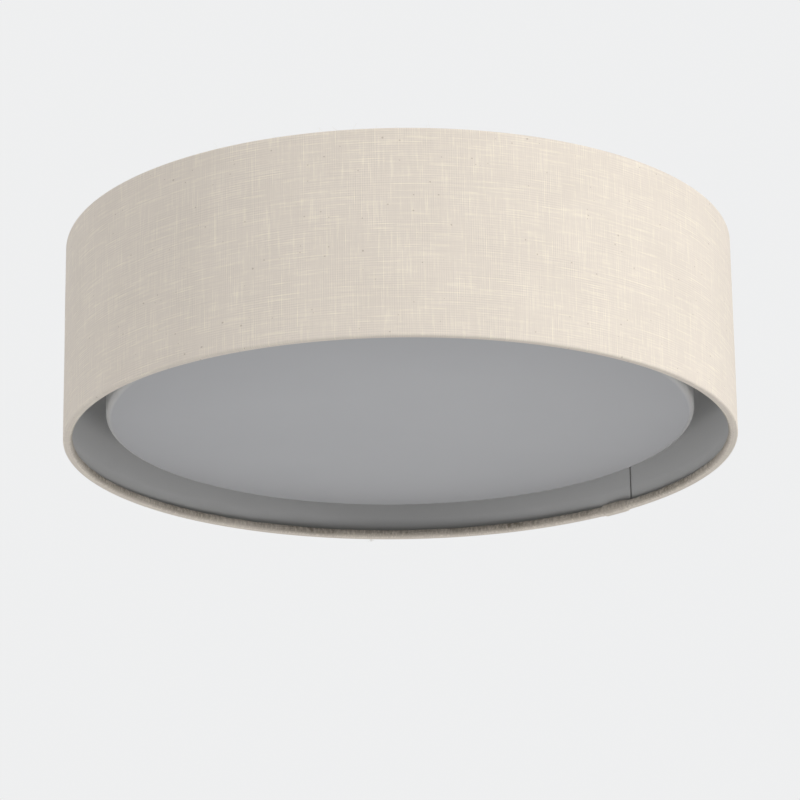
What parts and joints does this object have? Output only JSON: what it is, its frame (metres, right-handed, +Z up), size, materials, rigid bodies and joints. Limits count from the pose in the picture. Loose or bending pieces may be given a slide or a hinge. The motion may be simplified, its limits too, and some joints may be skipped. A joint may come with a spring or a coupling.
{
  "type": "flush mount ceiling light",
  "caption": "Drum-shaped flush mount ceiling light: a stretched linen shade round a recessed opal diffuser, hung from a steel ceiling pan with an LED ring.",
  "frame": {"origin": "middle of the mounting bar's top face, in the plane of the ceiling, on the light's axis", "axes": "+Z up, out of the ceiling face; X along the mounting bar; the light hangs below z = 0; +Y points away from the viewer of the picture"},
  "size_m": [0.4059, 0.406, 0.126],
  "materials": {
    "linen": "slubby woven linen, matt",
    "liner_white": "smooth satin sheet",
    "opal_acrylic": "satin opal",
    "ring_steel": "white coated wire",
    "pan_enamel": "white powder coat",
    "bracket_zinc": "bright zinc plate",
    "screw_zinc": "bright zinc plate",
    "rivet_aluminium": "bright",
    "spring_steel": "tempered strip",
    "earth_green": "green dyed plate",
    "bushing_black": "matt",
    "board_white": "white solder mask",
    "led_yellow": "phosphor gel",
    "connector_white": "moulded",
    "driver_plastic": "fine moulded grain",
    "board_green": "solder mask",
    "winding_yellow": "tape wound",
    "capacitor_black": "shrink sleeve",
    "terminal_nylon": "moulded",
    "terminal_brass": "bright",
    "lead_black": "insulation",
    "lead_white": "insulation",
    "lead_green": "insulation",
    "lead_red": "insulation",
    "thumb_nickel": "satin nickel plate",
    "washer_nylon": "moulded"
  },
  "bodies": {
    "canopy": {"pan": "pan_enamel", "pan_ear_1": "bracket_zinc", "pan_ear_2": "bracket_zinc", "pan_ear_3": "bracket_zinc", "ear_rivets": "rivet_aluminium", "diffuser_clip_1": "spring_steel", "diffuser_clip_2": "spring_steel", "diffuser_clip_3": "spring_steel", "diffuser_clip_4": "spring_steel", "clip_rivets": "rivet_aluminium", "mounting_bar": "bracket_zinc", "bar_screws": "screw_zinc", "ground_screw": "earth_green", "wire_bushing": "bushing_black", "led_board": "board_white", "leds": "led_yellow", "led_board_screws": "screw_zinc", "led_connector": "connector_white", "driver_base": "driver_plastic", "driver_case": "driver_plastic", "driver_board": "board_green", "driver_transformer": "winding_yellow", "driver_capacitor": "capacitor_black", "driver_screws": "screw_zinc", "terminal_block": "terminal_nylon", "terminal_screws": "terminal_brass", "block_screws": "screw_zinc", "earth_screw": "screw_zinc", "earth_tag": "terminal_brass", "lead_line": "lead_black", "lead_neutral": "lead_white", "lead_earth": "lead_green", "led_lead_positive": "lead_red", "led_lead_negative": "lead_black", "driver_cover": "pan_enamel", "cover_screws": "screw_zinc"},
    "shade": {"shade_fabric": "linen", "shade_liner": "liner_white", "shade_top_ring": "ring_steel", "shade_bottom_ring": "ring_steel", "shade_tab_1": "ring_steel", "shade_tab_2": "ring_steel", "shade_tab_3": "ring_steel"},
    "diffuser": {"diffuser": "opal_acrylic"},
    "thumb_screw_1": {"thumb_screw_1": "thumb_nickel", "retaining_washer_1": "washer_nylon"},
    "thumb_screw_2": {"thumb_screw_2": "thumb_nickel", "retaining_washer_2": "washer_nylon"},
    "thumb_screw_3": {"thumb_screw_3": "thumb_nickel", "retaining_washer_3": "washer_nylon"}
  },
  "joints": [
    {"name": "shade_slide", "type": "slide", "parent": "canopy", "child": "shade", "axis": [0, 0, -1], "range_m": [0, 0.125]},
    {"name": "diffuser_slide", "type": "slide", "parent": "canopy", "child": "diffuser", "axis": [0, 0, -1], "range_m": [0, 0.125], "deforming": ["diffuser_clip_1", "diffuser_clip_2", "diffuser_clip_3", "diffuser_clip_4"]},
    {"name": "thumb_screw_1_turn", "type": "hinge", "parent": "shade", "child": "thumb_screw_1", "pos_m": [0, 0.188, -0.012], "axis": [0, 0, 1], "continuous": true},
    {"name": "thumb_screw_2_turn", "type": "hinge", "parent": "shade", "child": "thumb_screw_2", "pos_m": [-0.16281, -0.094, -0.012], "axis": [0, 0, 1], "continuous": true},
    {"name": "thumb_screw_3_turn", "type": "hinge", "parent": "shade", "child": "thumb_screw_3", "pos_m": [0.16281, -0.094, -0.012], "axis": [0, 0, 1], "continuous": true}
  ]
}
